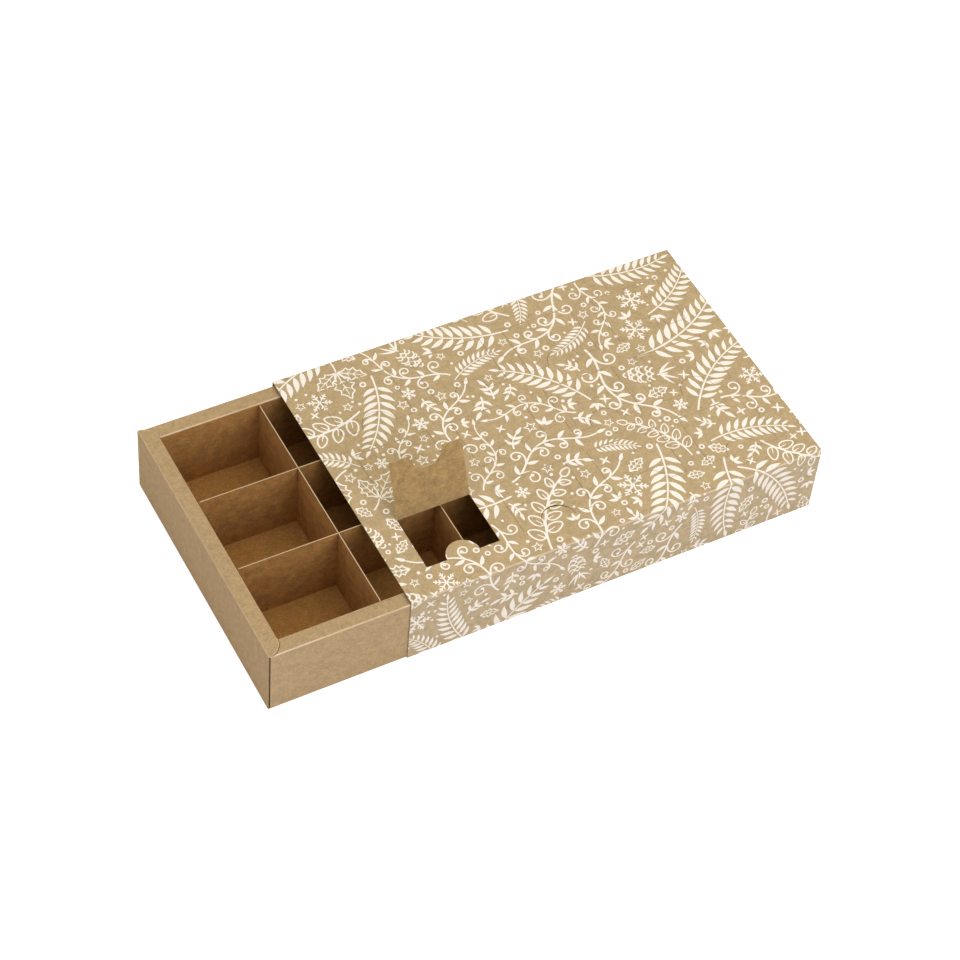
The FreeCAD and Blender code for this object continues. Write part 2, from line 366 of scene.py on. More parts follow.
def holly_sprig():
    """Three prickly leaves on a short stem."""
    stem = walk(0, lambda share: 0.25 - 0.5 * share, 12, 6)
    strokes = [line(stem, 0.6, 0.5)]
    for way, length in ((1.05, 21), (0.0, 26), (-1.05, 21)):
        strokes += holly_leaf(stem[-1] + cmath.rect(1.2, way), way, length)
    return strokes


print("holly sprig:", len(holly_sprig()), "strokes")

# %% [markdown]
# ## Pine cone
#
# A cone's scales lie in rows like roof tiles. Half rings in rows of two and three by turns, as wide together
# as the cone is there, show it with few strokes.

# %% Pine cone
def pine_cone():
    """A cone of scales in rows, on a stalk with two needles each side."""
    rows = 7
    strokes = [line(walk(-7, lambda share: 0.15, 7, 3), 0.46)]
    for row in range(rows):
        share = row / (rows - 1)
        half_width = 6.6 * math.sin(math.pi * (0.26 + 0.66 * share))
        count = 3 if row % 2 else 2
        if row == rows - 1:
            count = 1
        radius = half_width / count
        for i in range(count):
            centre = complex(1.5 + 2.9 * row, (2 * i - count + 1) * radius)
            scale = [centre + cmath.rect(radius, math.pi * (k / 8 - 0.5)) for k in range(9)]
            strokes.append(line(scale, 0.5))
    for side in (-1, 1):
        for way in (2.3, 2.75):
            strokes.append(blade(complex(-1.5, 0), side * way, 12, 1.5, 0.3 * side))
    return strokes


print("pine cone:", len(pine_cone()), "strokes")

# %% [markdown]
# ## Crystals, stars and small fillings
#
# What lies between the twigs is small and bold, so that no bare patch is left: snow crystals with six arms,
# stars, crossed rays, rings, dots and small sprigs. Each is one loop over angles.

# %% Crystals and stars
def crystal(size):
    """Six arms with two pairs of side arms each."""
    strokes = []
    for i in range(6):
        way = i * math.pi / 3
        strokes.append(line([cmath.rect(0.2, way), cmath.rect(size, way)], 0.48))
        for share, length in ((0.42, 0.3), (0.7, 0.22)):
            for side in (-1, 1):
                root = cmath.rect(size * share, way)
                strokes.append(line([root, root + cmath.rect(size * length, way + side * math.pi / 3.4)], 0.42))
    return strokes


def star(size):
    """Outline of a star with five points."""
    return [outline([cmath.rect(size * (0.44 if i % 2 else 1), i * math.pi / 5) for i in range(10)], 0.5)]


print("crystal:", len(crystal(9)), "strokes, star:", len(star(4)), "stroke")


# %% Small fillings
def trefoil(size):
    """Three drop-shaped leaflets from one point."""
    return [blade(cmath.rect(0.5, way), way, size, size * 0.36) for way in (-0.9, 0, 0.9)]


def sprig(size):
    """A short bent stem with two pairs of leaflets and one at its tip."""
    stem = walk(0, lambda share: 0.4 - 0.8 * share, size * 0.62, 8)
    strokes = [line(stem, 0.5, 0.4), blade(stem[-1], -0.4, size * 0.38, size * 0.12)]
    for share in (0.3, 0.68):
        base, way = place_on(stem, share)
        for side in (-1, 1):
            strokes.append(blade(base, way + 0.9 * side, size * 0.34, size * 0.11, -0.4 * side))
    return strokes


def sparkle(size):
    """Four tapering rays."""
    return [blade(cmath.rect(-0.3, i * math.pi / 2), i * math.pi / 2, size, size * 0.3) for i in range(4)]


def small_ring(size):
    """A small ring."""
    return [outline([cmath.rect(size, i * math.pi / 7) for i in range(14)], 0.5)]


print("trefoil:", len(trefoil(6)), "strokes, sprig:", len(sprig(17)), "strokes")

# %% All motifs
motifs = {
    "frond": frond(), "vine": vine(), "coin_twig": coin_twig(), "holly": holly_sprig(), "cone": pine_cone(),
    "leaf": holly_leaf(0, 0, 16), "crystal": crystal(9), "small_crystal": crystal(6), "star": star(4.2),
    "trefoil": trefoil(6), "sprig": sprig(17), "sparkle": sparkle(4.6), "ring": small_ring(1.6),
    "dot": [bud(0j, 1.2)]}
print("motifs:", {name: len(strokes) for name, strokes in motifs.items()})

# %% [markdown]
# ## Sowing the motifs
#
# The printer's sheet is the sleeve laid flat: x runs along the sleeve and v round it, from the middle of the
# top over the front (negative) or the back (positive). The motifs are sown by chance and never touch: a grid
# of small cells remembers what is taken, the large motifs go first, and each smaller size fills what is left.

# %% The flat sheet
sleeve_low, sleeve_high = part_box("sleeve_front")
half_length = sleeve_high.x / mm
half_width = -sleeve_low.y / mm
sleeve_height = sleeve_high.z / mm
fold_radius = (sleeve_high.y - sleeve_low.y) / mm
fold_run = fold_radius * math.pi / 2
front_run = half_width - fold_radius
wrap_end_front = front_run + 2 * fold_run + sleeve_height - 2 * fold_radius + 2 * front_run
wrap_end_back = front_run + fold_run + sleeve_height - fold_radius
print("flat sheet", round(2 * half_length, 1), "by", round(wrap_end_front + wrap_end_back, 1), "mm")

# %% [markdown]
# ## What is taken
#
# To know whether a motif fits, its strokes could be tested against all others. It is much quicker to mark the
# cells of a fine grid. Each motif becomes a cloud of points, with its outlined leaves filled so that nothing
# lands inside them, and a placing is good when none of its cells is taken.

# %% Grid of taken cells
cell = 0.8
margin = 40
sheet_low = complex(-half_length - margin, -wrap_end_front - margin)
cells_x = int((2 * half_length + 2 * margin) / cell)
cells_v = int((wrap_end_front + wrap_end_back + 2 * margin) / cell)
taken = np.zeros((cells_v, cells_x), bool)
chance = random.Random(24)


def inked(strokes):
    """Closely spaced points all over a motif, its outlined leaves filled."""
    spots = []
    for points, radii, closed in strokes:
        pairs = list(zip(points, radii))
        ends = pairs[1:] + (pairs[:1] if closed else [])
        centre = sum(points) / len(points)
        for (a, radius_a), (b, radius_b) in zip(pairs, ends):
            across = 1j * (b - a) / max(abs(b - a), 1e-6)
            steps = max(1, math.ceil(abs(b - a) / cell))
            for share in (i / steps for i in range(steps)):
                spot = a + (b - a) * share
                radius = radius_a + (radius_b - radius_a) * share
                spots += [spot, spot + across * radius, spot - across * radius]
                if closed:
                    spots += [centre + (spot - centre) * part for part in (0.3, 0.6, 0.85)]
    return np.array(spots)


def cells_of(spots, turn, place):
    """Grid cells that a motif covers when it is turned, scaled and mirrored by turn and put at place."""
    at = (turn(spots) + place - sheet_low) / cell
    return np.unique(np.stack([at.imag.astype(int), at.real.astype(int)]), axis=1)


print("grid of", cells_x, "by", cells_v, "cells of", cell, "mm")

# %% [markdown]
# ## Where each motif lands
#
# A place, an angle and a size are drawn by chance, with a fixed start so that each run gives the same print.
# A try that hits a taken cell is dropped. A few points are tested first, since most tries fail.

# %% Sowing
near = [(dv, dx) for dv in (-1, 0, 1) for dx in (-1, 0, 1)]
few = 29  # one point in so many is tested first
sown = []


def sow(name, tries, size_range, wanted):
    """Puts up to wanted copies of a motif where there is room."""
    spots = inked(motifs[name])
    reach = abs(spots).max() * size_range[1] + 2
    low = sheet_low + complex(reach, reach)
    high = sheet_low + complex(cells_x, cells_v) * cell - complex(reach, reach)
    found = 0
    for attempt in range(tries):
        angle = chance.uniform(-math.pi, math.pi)
        size = chance.uniform(*size_range)
        flip = chance.random() < 0.5
        place = complex(chance.uniform(low.real, high.real), chance.uniform(low.imag, high.imag))

        def turn(z):
            return cmath.rect(size, angle) * (np.conj(z) if flip else z)

        rows, columns = cells_of(spots[::few], turn, place)
        if taken[rows, columns].any():
            continue
        rows, columns = cells_of(spots, turn, place)
        if taken[rows, columns].any():
            continue
        for dv, dx in near:
            taken[rows + dv, columns + dx] = True
        sown.append((name, place, angle, size, flip))
        found += 1
        if found == wanted:
            break
    return found


for name, tries, size_range, wanted in (
        ("vine", 60, (0.95, 1.15), 12), ("frond", 60, (0.9, 1.15), 10), ("coin_twig", 80, (0.9, 1.15), 12),
        ("holly", 150, (0.9, 1.1), 9), ("frond", 1500, (0.75, 1.0), 14), ("vine", 2500, (0.75, 0.95), 30),
        ("coin_twig", 3000, (0.75, 1.0), 40), ("cone", 1500, (0.85, 1.1), 22), ("holly", 2500, (0.7, 0.9), 40),
        ("frond", 4000, (0.45, 0.65), 40), ("crystal", 3000, (0.9, 1.2), 36), ("sprig", 6000, (0.9, 1.3), 64),
        ("leaf", 3000, (0.7, 1.0), 50), ("small_crystal", 4000, (0.8, 1.0), 40), ("trefoil", 9000, (0.9, 1.2), 120),
        ("star", 6000, (0.7, 1.0), 120), ("sparkle", 7000, (0.75, 1.0), 90), ("ring", 7000, (0.8, 1.1), 130),
        ("dot", 9000, (0.7, 1.0), 300)):
    print(name, sow(name, tries, size_range, wanted), end=", ")
print(len(sown), "motifs sown,", round(100 * taken.mean()), "% of the cells taken")

# %% [markdown]
# ## Ink as a mesh
#
# A curve in Blender can carry another curve as its nib. A nib that is one short flat line gives a ribbon whose
# width is the radius at each point, and a Solidify modifier gives the ribbon its thickness. Each stroke lies a
# hair above the one before, so that no two faces share a plane where strokes cross. Each motif is drawn once,
# and its copies are turned, scaled and mirrored in their meshes and then joined to one printed sheet.

# %% The nib
ink_thickness = 0.012
layer_step = 0.0003
profile = bpy.data.curves.new("ink_profile", "CURVE")
ends = profile.splines.new("POLY")
ends.points.add(1)
for point, across in zip(ends.points, (-1, 1)):
    point.co = (across * mm, 0, 0, 1)
profile_object = bpy.data.objects.new("ink_profile", profile)
print("ink", ink_thickness, "mm thick, each stroke", layer_step, "mm above the one before")


# %% Drawing a motif
def select_only(thing):
    bpy.ops.object.select_all(action="DESELECT")
    bpy.context.view_layer.objects.active = thing
    thing.select_set(True)


def join(things):
    """Joins meshes to one."""
    bpy.ops.object.select_all(action="DESELECT")
    for thing in things:
        thing.select_set(True)
    bpy.context.view_layer.objects.active = things[0]
    bpy.ops.object.join()
    return bpy.context.object


def close_shells(thing):
    """Joins doubled points and turns all faces outwards."""
    select_only(thing)
    bpy.ops.object.mode_set(mode="EDIT")
    bpy.ops.mesh.select_all(action="SELECT")
    bpy.ops.mesh.remove_doubles(threshold=0.0002 * mm)
    bpy.ops.mesh.normals_make_consistent(inside=False)
    bpy.ops.object.mode_set(mode="OBJECT")


def draw(name, strokes):
    """A motif's strokes as one flat mesh. Each stroke lies a hair above the one before."""
    curve = bpy.data.curves.new(name, "CURVE")
    curve.dimensions = "3D"
    curve.twist_mode = "Z_UP"
    curve.bevel_mode = "OBJECT"
    curve.bevel_object = profile_object
    for layer, (points, radii, closed) in enumerate(strokes):
        spline = curve.splines.new("POLY")
        spline.points.add(len(points) - 1)
        spline.use_cyclic_u = closed
        for knot, point, radius in zip(spline.points, points, radii):
            knot.co = (point.real * mm, point.imag * mm, layer * layer_step * mm, 1)
            knot.radius = radius
    drawn = bpy.data.objects.new(name, curve)
    bpy.context.scene.collection.objects.link(drawn)
    select_only(drawn)
    bpy.ops.object.convert(target="MESH")
    solidify = drawn.modifiers.new("thickness", "SOLIDIFY")
    solidify.thickness = ink_thickness * mm
    solidify.offset = 0
    bpy.ops.object.modifier_apply(modifier="thickness")
    bpy.ops.object.shade_flat()
    close_shells(drawn)
    return drawn


stamps = {name: draw(name, strokes) for name, strokes in motifs.items()}
print("faces of each stamp:", {name: len(stamp.data.polygons) for name, stamp in stamps.items()})

# %% Printing the sheet
copies = []
for name, place, angle, size, flip in sown:
    mesh = stamps[name].data.copy()
    mirror = Matrix.Diagonal((1, -1 if flip else 1, 1, 1))
    at = Matrix.Translation((place.real * mm, place.imag * mm, 0))
    mesh.transform(at @ Matrix.Rotation(angle, 4, "Z") @ Matrix.Diagonal((size, size, 1, 1)) @ mirror)
    copy = bpy.data.objects.new("sheet", mesh)
    bpy.context.scene.collection.objects.link(copy)
    copies.append(copy)
for stamp in stamps.values():
    bpy.data.objects.remove(stamp)
sheet = join(copies)
close_shells(sheet)
print("printed sheet:", len(sheet.data.polygons), "faces")

# %% [markdown]
# ## Cutting and folding the sheet
#
# A card factory prints the flat blank first, then a die cuts the doors, and then the blank is folded. The ink
# goes the same way here. Boolean modifiers divide the sheet into the sleeve's panels and the doors, along the
# same lines as the card, so that each door takes its own ink with it. Then every point is carried from the
# flat sheet to its place round the sleeve, with a few extra cuts across the two folds so that the ink bends.
# Where a door bends, the ink stops just short of the crease, because it would crack and flake off there.
# That also keeps a door's ink clear of the top's when the door is folded right back.

# %% The die's lines
door_names = [[f"door_{row}_{column}" for column in (1, 2, 3, 4)] for row in ("front", "middle", "back")]
cut_gap = 0.25
bare_door, bare_top = 0.35, 0.6
thumb_radius = 11.0
row_lines = []
for row in door_names:
    low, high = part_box(row[1])
    row_lines.append((low.y / mm - cut_gap, high.y / mm))
column_lines = []
for name in door_names[1]:
    low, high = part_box(name)
    column_lines.append((low.x / mm - cut_gap, high.x / mm + cut_gap))
print("door windows from", [round(x, 2) for x, _ in column_lines], "and", [round(y, 2) for y, _ in row_lines])


# %% [markdown]
# ## The die as a cutting tool
#
# A Boolean modifier cuts a mesh with another one. The tool for a door is a block less a round disc, the
# half-disc that stays on the sleeve for the thumb. The door's tool is smaller by the width of the cut, the
# window's is full size, and twelve of each are joined to one tool, so the sheet is cut only twice.

# %% The die
def block(low_x, low_v, high_x, high_v):
    """A block through the sheet."""
    bpy.ops.mesh.primitive_cube_add(size=mm, location=((low_x + high_x) / 2 * mm, (low_v + high_v) / 2 * mm, 0))
    made = bpy.context.object
    made.scale = (high_x - low_x, high_v - low_v, 3)
    bpy.ops.object.transform_apply(location=True, rotation=True, scale=True)
    return made


def cut(thing, tool, operation):
    """Applies a Boolean modifier."""
    boolean = thing.modifiers.new("cut", "BOOLEAN")
    boolean.operation = operation
    boolean.solver = "MANIFOLD"
    boolean.object = tool
    select_only(thing)
    bpy.ops.object.modifier_apply(modifier="cut")


def die(gap, bare=0.0):
    """The twelve door shapes, smaller by gap on their three cut sides and by bare at the hinge, as one tool."""
    tools = []
    for front, hinge in row_lines:
        for left, right in column_lines:
            tool = block(left + gap, front + gap, right - gap, hinge - bare)
            bpy.ops.mesh.primitive_cylinder_add(vertices=96, radius=(thumb_radius + gap) * mm, depth=5 * mm,
                                                location=((left + right) / 2 * mm, front * mm, 0))
            disc = bpy.context.object
            cut(tool, disc, "DIFFERENCE")
            bpy.data.objects.remove(disc)
            tools.append(tool)
    return join(tools)


print("disc of", thumb_radius, "mm, cut of", cut_gap, "mm")


# %% Parts of the sheet
def part_of_sheet(name, tool, operation="INTERSECT", source=None):
    """A copy of the sheet's ink inside, or outside, a cutting tool."""
    part = (source or sheet).copy()
    part.data = part.data.copy()
    part.name = part.data.name = name
    bpy.context.scene.collection.objects.link(part)
    cut(part, tool, operation)
    return part


fold_1 = front_run + fold_run
fold_2 = fold_1 + sleeve_height - 2 * fold_radius
fold_3 = fold_2 + fold_run
panels = {
    "print_top": (-front_run, front_run), "print_front": (-fold_3, -front_run),
    "print_back": (front_run, wrap_end_back), "print_bottom": (-wrap_end_front, -fold_3)}
ink = {}
for name, (low_v, high_v) in panels.items():
    tool = block(-half_length, low_v, half_length, high_v)
    ink[name] = part_of_sheet(name, tool)
    bpy.data.objects.remove(tool)
    print(name, len(ink[name].data.polygons), "faces")
bpy.data.objects.remove(sheet)
leaves, windows = die(cut_gap, bare_door), die(0, -bare_top)
door_ink = part_of_sheet("print_doors", leaves, "INTERSECT", ink["print_top"])
cut(ink["print_top"], windows, "DIFFERENCE")
bpy.data.objects.remove(leaves)
bpy.data.objects.remove(windows)
print("all doors", len(door_ink.data.polygons), "faces, rest of the top", len(ink["print_top"].data.polygons))


# %% [markdown]
# ## Ink for each door
#
# A door swings, so its ink has to be a piece of its own. All twelve were cut out in one go. Here the points
# inside each door's rectangle are selected and separated.

# %% Ink for each door
def points_of(thing):
    """Places of a mesh's points in mm."""
    places = np.empty(3 * len(thing.data.vertices))
    thing.data.vertices.foreach_get("co", places)
    return places.reshape(-1, 3) / mm


def edit_points(thing, chosen):
    """Edit mode with only the chosen points selected."""
    select_only(thing)
    bpy.ops.object.mode_set(mode="EDIT")
    bpy.ops.mesh.select_mode(type="VERT")
    bpy.ops.mesh.select_all(action="DESELECT")
    bpy.ops.object.mode_set(mode="OBJECT")
    thing.data.vertices.foreach_set("select", chosen)
    bpy.ops.object.mode_set(mode="EDIT")


def split_off(thing, name, low_x, low_v, high_x, high_v):
    """Makes the part of the mesh inside a rectangle a piece of its own."""
    x, v, _ = points_of(thing).T
    edit_points(thing, (x > low_x) & (x < high_x) & (v > low_v) & (v < high_v))
    bpy.ops.mesh.separate(type="SELECTED")
    bpy.ops.object.mode_set(mode="OBJECT")
    piece = next(other for other in bpy.context.selected_objects if other != thing)
    piece.name = piece.data.name = name
    return piece


for row, (front, hinge) in zip(door_names, row_lines):
    for name, (left, right) in zip(row, column_lines):
        ink[name] = split_off(door_ink, "print_" + name, left, front, right, hinge + 0.01)
print("left over:", len(door_ink.data.vertices), "points")
bpy.data.objects.remove(door_ink)

# %% [markdown]
# ## Crumbs
#
# Where a cut only grazes a stroke it leaves a crumb of ink, which on a real print would rub off. To find them,
# each point takes the lowest number among its neighbours, over and over, until all points of a closed shell
# share one number. Shells under half a millimetre are deleted. Separating all shells would be far slower.

# %% Removing crumbs
def drop_crumbs(thing, smallest=0.5):
    """Deletes the closed shells of a mesh that are smaller than smallest in mm, and counts their points."""
    places = points_of(thing)
    edges = np.empty(2 * len(thing.data.edges), int)
    thing.data.edges.foreach_get("vertices", edges)
    ends = edges.reshape(-1, 2).T
    shell, before = np.arange(len(places)), None
    while before is None or (shell != before).any():
        before = shell
        shell = before.copy()
        lowest = before[ends].min(axis=0)
        for end in ends:
            np.minimum.at(shell, end, lowest)
        shell = shell[shell]
    low, high = places.copy(), places.copy()
    np.minimum.at(low, shell, places)
    np.maximum.at(high, shell, places)
    crumbs = (high - low).max(axis=1)[shell] < smallest
    edit_points(thing, crumbs)
    bpy.ops.mesh.delete(type="VERT")
    bpy.ops.object.mode_set(mode="OBJECT")
    return int(crumbs.sum())


print("points in crumbs:", sum(drop_crumbs(piece) for piece in ink.values()))

# %% [markdown]
# ## Folding
#
# The flat ink goes round the sleeve by a formula: straight along the top, a quarter of a circle round each
# fold, and straight again. Bisect cuts add points across the folds first, since a face can't bend between its
# corners. One thumb tab of the front row is pressed in, so its ink tilts with it, and the first door's ink is
# turned with the open door.

# %% The way round the sleeve
ink_lift = ink_thickness / 2 - 0.001
tab_front = row_lines[0][0]
tab_middle = sum(column_lines[1]) / 2
tab_angle = math.radians(5)
open_angle = math.radians(112)


def folded(x, v, h):
    """Place round the sleeve of a point of the flat sheet, h above the card."""
    side = np.sign(v)
    run = abs(v)
    turn = np.clip((run - front_run) / fold_radius, 0, math.pi / 2)
    under = np.clip((run - fold_2) / fold_radius, 0, math.pi / 2)
    reach = fold_radius + h
    y = side * (np.minimum(run, front_run) + reach * np.sin(turn) - reach * (1 - np.cos(under)))
    z = sleeve_height - fold_radius + reach * np.cos(turn)
    z = z - np.clip(run - fold_1, 0, fold_2 - fold_1) - reach * np.sin(under)
    y = np.where(run > fold_3, y + (run - fold_3), y)
    beyond = np.hypot(x - tab_middle, v - tab_front) < thumb_radius + 0.1
    on_tab = (v > tab_front) & beyond & (run < front_run)
    depth = v - tab_front
    y = np.where(on_tab, tab_front + depth * math.cos(tab_angle) + h * math.sin(tab_angle), y)
    z = np.where(on_tab, sleeve_height - depth * math.sin(tab_angle) + h * math.cos(tab_angle), z)
    return x, y, z


print("the side begins", round(sleeve_height - folded(0.0, fold_1, 0.0)[2], 2), "mm below the top")


# %% Folding
def bend_line(thing, place, normal):
    """Adds an edge across all strokes along a line of the sheet."""
    select_only(thing)
    bpy.ops.object.mode_set(mode="EDIT")
    bpy.ops.mesh.select_all(action="SELECT")
    bpy.ops.mesh.bisect(plane_co=place, plane_no=normal, threshold=0.0002 * mm)
    bpy.ops.object.mode_set(mode="OBJECT")


fold_steps = 8
for i in range(fold_steps + 1):
    top_bend = front_run + fold_run * i / fold_steps
    if i:
        bend_line(ink["print_front"], (0, -top_bend * mm, 0), (0, 1, 0))
        bend_line(ink["print_back"], (0, top_bend * mm, 0), (0, 1, 0))
    if i < fold_steps:
        bend_line(ink["print_front"], (0, -(fold_2 + fold_run * i / fold_steps) * mm, 0), (0, 1, 0))
bend_line(ink["print_top"], (0, tab_front * mm, 0), (0, 1, 0))

for name, piece in ink.items():
    x, v, h = points_of(piece).T
    x, y, z = folded(x, v, h + ink_lift)
    piece.data.vertices.foreach_set("co", (np.stack([x, y, z], axis=1) * mm).ravel())
    piece.data.update()
    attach(piece, name if name.startswith("door") else "sleeve")

open_hinge = Vector((0, row_lines[0][1], sleeve_height)) * mm
opening = Matrix.Rotation(-open_angle, 4, "X")
opening = Matrix.Translation(open_hinge) @ opening @ Matrix.Translation(-open_hinge)
ink["door_front_1"].data.transform(opening)
print("ink pieces:", {name: len(piece.data.polygons) for name, piece in ink.items()})

# %% [markdown]
# ## Kraft card
#
# Kraft card is pressed from unbleached wood fibres. Close up its brown is not one colour: soft clouds, short pale and
# dark fibres in all directions and a few bark specks. Its cut edges are paler than its faces, a fold is rubbed pale
# where the fibres break, and the inner side is duller than the outer one. Some painted light is laid on top: a
# painted highlight along the folds, painted shadow in the tray's narrow gaps and painted shade inside the tray. It
# could be a photo of card wrapped round the box, but that stretches and repeats. Noise on Object coordinates has its
# true size in millimetres on every part.

# %% Noise and tints
def vector(tree, operation, *values, result="Vector"):
    return shade(tree, "VectorMath", dict(enumerate(values)), operation=operation).outputs[result]


def ramp(tree, value, low, high, bottom=0.0, top=1.0):
    """Bottom below low and top above high, with a smooth change between."""
    return shade(tree, "MapRange", {"Value": value, "From Min": low, "From Max": high, "To Min": bottom,
                                    "To Max": top}, interpolation_type="SMOOTHSTEP").outputs[0]


def noise(tree, place, scale, detail=2.0, stretch=(1, 1, 1), turn=(0, 0, 0)):
    """Noise with scale waves to the metre, drawn out along an axis by stretch."""
    turned = shade(tree, "Mapping", {"Vector": place, "Rotation": turn, "Scale": stretch}).outputs[0]
    return shade(tree, "TexNoise", {"Vector": turned, "Scale": scale, "Detail": detail}).outputs["Fac"]


def tint(tree, share, under, over):
    """The colour under, with over laid on it by share."""
    return shade(tree, "Mix", {0: share, 6: under, 7: over}, data_type="RGBA").outputs[2]


print("noise of 350 waves to the metre has waves of", round(1000 / 350, 1), "mm")

# %% [markdown]
# ## Clouds, fibres and specks
#
# A fibre is too thin and there are too many to model. A noise drawn out six times along one axis has long
# narrow crests, and cut off near its top these look like short fibres. Three such noises, each turned another
# way, lie across each other. A speck is the middle of a Voronoi cell, shown in one cell of five.

# %% Grain of the card
def clouds(tree, place, cloud, inner):
    """How light the card is, round 1: fine clouds, wider blotches, more of them on the inner side, and a slow
    change over a panel."""
    fine = ramp(tree, cloud, 0.3, 0.7, 0.89, 1.09)
    wide = ramp(tree, noise(tree, place, 210, 3), 0.3, 0.7, -0.08, 0.07)
    slow = ramp(tree, noise(tree, place, 16, 1), 0.3, 0.7, -0.02, 0.02)
    dull = ramp(tree, noise(tree, place, 170, 3), 0.32, 0.68, -0.15, 0.12)
    depth = calc(tree, "ADD", calc(tree, "ADD", fine, wide), slow)
    return calc(tree, "ADD", depth, calc(tree, "MULTIPLY", dull, inner))


def pale_fibres(tree, place):
    one_way = ramp(tree, noise(tree, place, 420, 1, (1, 6, 6), (0.3, 0.2, 0.5)), 0.6, 0.72)
    other_way = ramp(tree, noise(tree, place, 420, 1, (6, 1, 6), (0.2, 0.5, 0.9)), 0.62, 0.74)
    return calc(tree, "MULTIPLY", calc(tree, "MAXIMUM", one_way, other_way), 0.38)


def dark_fibres(tree, place):
    """Dark fibres and bark specks."""
    fibre = ramp(tree, noise(tree, place, 380, 1, (1, 7, 7), (0.4, 0.1, 2.2)), 0.63, 0.75)
    cells = shade(tree, "TexVoronoi", {"Vector": place, "Scale": 420.0})
    rare = ramp(tree, shade(tree, "SeparateColor", {0: cells.outputs["Color"]}).outputs[0], 0.8, 0.84)
    speck = calc(tree, "MULTIPLY", rare, ramp(tree, cells.outputs["Distance"], 0.16, 0.06))
    return calc(tree, "MAXIMUM", calc(tree, "MULTIPLY", fibre, 0.42), calc(tree, "MULTIPLY", speck, 0.7))


print("specks every", round(1000 / 420 / 0.2 ** (1 / 3), 1), "mm or so")

# %% [markdown]
# ## Inner and outer side, and cut edges
#
# The inner side and the cut edges could be painted face by face, but the parts' meshes are not to be touched.
# The normal tells the same: a flat part shows an edge where its face turns away from the part's own direction.
# The sleeve's front and back bend round, so their direction is the one away from the sleeve's middle line, with
# heights stretched so that it points slantwise at the folds. A tray wall shows its outer side where it looks away
# from the tray's middle, and its inner side towards the cells.

# %% Which way a face looks
stretch_up = 3.5


def facing(tree, place, normal, way):
    """How far a face looks to a part's outer side, 1 to -1, and how far its normal is from a cut edge's."""
    kind, direction, *rest = way
    if kind == "round":
        middle_line = (0, 0, -stretch_up * sleeve_height / 2 * mm)
        direction = shade(tree, "Mapping", {"Vector": place, "Location": middle_line,
                                            "Scale": (0, 1, stretch_up)}).outputs[0]
        direction = vector(tree, "NORMALIZE", direction)
    along = vector(tree, "DOT_PRODUCT", normal, direction, result="Value")
    if kind != "wall":
        return along, calc(tree, "ABSOLUTE", along)
    middle, run = rest
    offset = vector(tree, "DOT_PRODUCT", place, direction, result="Value")
    outward = calc(tree, "MULTIPLY", along, calc(tree, "SIGN", calc(tree, "SUBTRACT", offset, middle)))
    lengthwise = vector(tree, "DOT_PRODUCT", normal, run, result="Value")
    return outward, calc(tree, "SUBTRACT", 1, calc(tree, "ABSOLUTE", lengthwise))


print("ways a part can lie: a plate, round the sleeve, a tray wall")

# %% [markdown]
# ## Folds, corners and score lines
#
# A fold is rubbed paler, most at the middle of its bend, where the normal lies between two axes, and the same mark is
# also a painted highlight along the bend. The rims of the tray's end walls stop in round lobes on the rims of the
# long walls. Round each lobe, a thin dark line on the long walls is a painted shadow of the thin step there, and a
# pale line on the end walls is partly the cut edge and partly a painted highlight. Beside each door the die leaves a
# shallow score in line with the crease. All three are too fine to be cut from card and are drawn from the place and
# the normal.

# %% Rubbed folds with a painted highlight
# Paler along each bend: partly rubbed wear, and partly a painted highlight where the bend catches the light.
def worn_folds_and_highlight(tree, place, normal, wear):
    x, y, z = shade(tree, "SeparateXYZ", {0: vector(tree, "ABSOLUTE", normal)}).outputs
    bend = calc(tree, "ADD", calc(tree, "MULTIPLY", x, y), calc(tree, "MULTIPLY", z, calc(tree, "ADD", x, y)))
    patchy = ramp(tree, noise(tree, place, 90, 3), 0.25, 0.7, 0.5 * wear, wear)
    return calc(tree, "MULTIPLY", ramp(tree, bend, 0.12, 0.42), patchy)


tray_low, tray_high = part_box("tray_left_wall")[0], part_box("tray_right_wall")[1]
tray_middle = (tray_low + tray_high) / 2
tray_reach = (tray_high - tray_low) / 2
rim_width = 10.5
print("tray centre", [round(value / mm, 2) for value in tray_middle])


# %% Lobes at the tray's corners, with painted shadow and highlight
def painted_lobe_step(tree, place, normal, near, far):
    """1 on the tray's rim from near to far mm outside the round lobes in which the end walls' rims stop. It places a
    painted shadow on the long walls and a pale line, partly a painted highlight, on the end walls.
    """
    offset = vector(tree, "ABSOLUTE", vector(tree, "SUBTRACT", place, tray_middle))
    axes = shade(tree, "SeparateXYZ", {0: offset}).outputs
    from_end = calc(tree, "SUBTRACT", tray_reach.x, axes[0])
    beside = calc(tree, "MAXIMUM", calc(tree, "SUBTRACT", axes[1], tray_reach.y - rim_width * mm), 0)
    reach = calc(tree, "SQRT", calc(tree, "ADD", calc(tree, "POWER", from_end, 2), calc(tree, "POWER", beside, 2)))
    past = calc(tree, "SUBTRACT", reach, rim_width * mm)
    ring = calc(tree, "MULTIPLY", ramp(tree, past, (near - 0.1) * mm, (near + 0.1) * mm),
                ramp(tree, past, (far + 0.1) * mm, (far - 0.1) * mm))
    upward = shade(tree, "SeparateXYZ", {0: normal}).outputs[2]
    return calc(tree, "MULTIPLY", ring, ramp(tree, upward, 0.5, 0.8))


print("lobes of", rim_width, "mm radius")

# %% Score lines beside the doors
pitch_x = column_lines[1][0] - column_lines[0][0]
pitch_y = row_lines[1][0] - row_lines[0][0]
score_reach = 50
far_off = 100  # so many doors away nothing is negative


